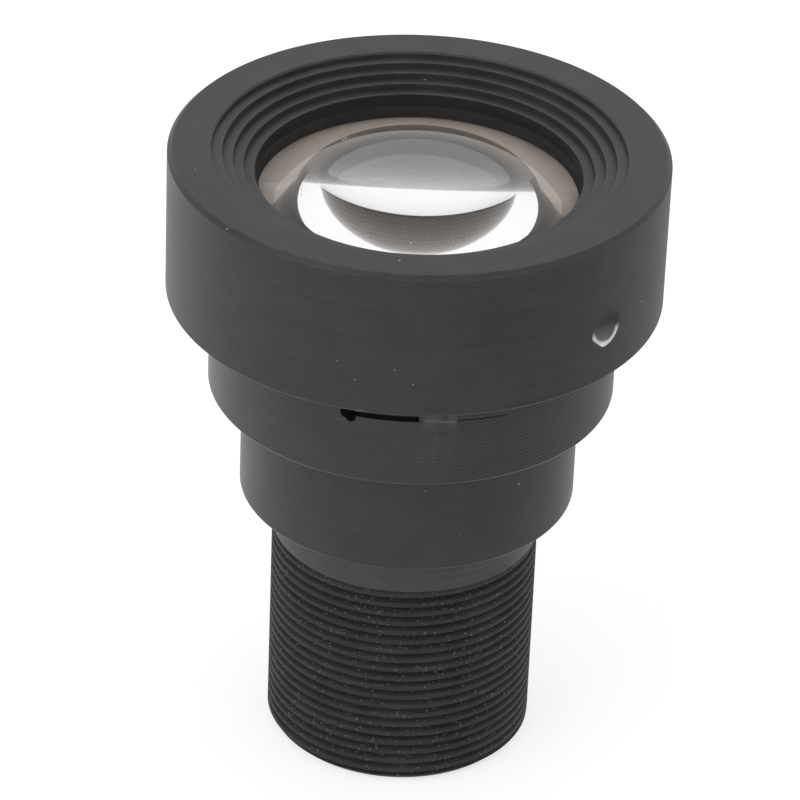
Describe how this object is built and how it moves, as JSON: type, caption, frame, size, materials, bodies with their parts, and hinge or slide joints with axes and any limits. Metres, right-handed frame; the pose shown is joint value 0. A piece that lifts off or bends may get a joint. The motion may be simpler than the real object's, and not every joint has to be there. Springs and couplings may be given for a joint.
{
  "type": "m12 board camera lens",
  "caption": "Small board camera lens: black stepped barrel with a fine M12 thread, wide front cap with a stepped recess around the front glass.",
  "frame": {"origin": "centre of the flat rear face, at the threaded end", "axes": "+Z along the optical axis, from the threaded end to the front glass; -Y is the side the picture shows, and +X is to its right"},
  "size_m": [0.0218, 0.0218, 0.0293],
  "materials": {
    "black_anodised": "satin",
    "optical_glass": "polished",
    "stop_foil": "matte",
    "screw_steel": "blackened",
    "clear_sealant": "gloss"
  },
  "bodies": {
    "root": {"barrel": "black_anodised", "head_ring": "black_anodised", "front_spacer": "black_anodised", "second_spacer": "black_anodised", "stop_spacer": "black_anodised", "baffle_tube": "black_anodised", "rear_spacer": "black_anodised", "rear_retaining_ring": "black_anodised", "front_element": "optical_glass", "second_element": "optical_glass", "doublet_crown": "optical_glass", "doublet_flint": "optical_glass", "rear_negative_element": "optical_glass", "rear_crown": "optical_glass", "rear_flint": "optical_glass", "aperture_stop": "stop_foil", "lock_screw": "screw_steel", "lock_screw_sealant": "clear_sealant"}
  },
  "joints": []
}
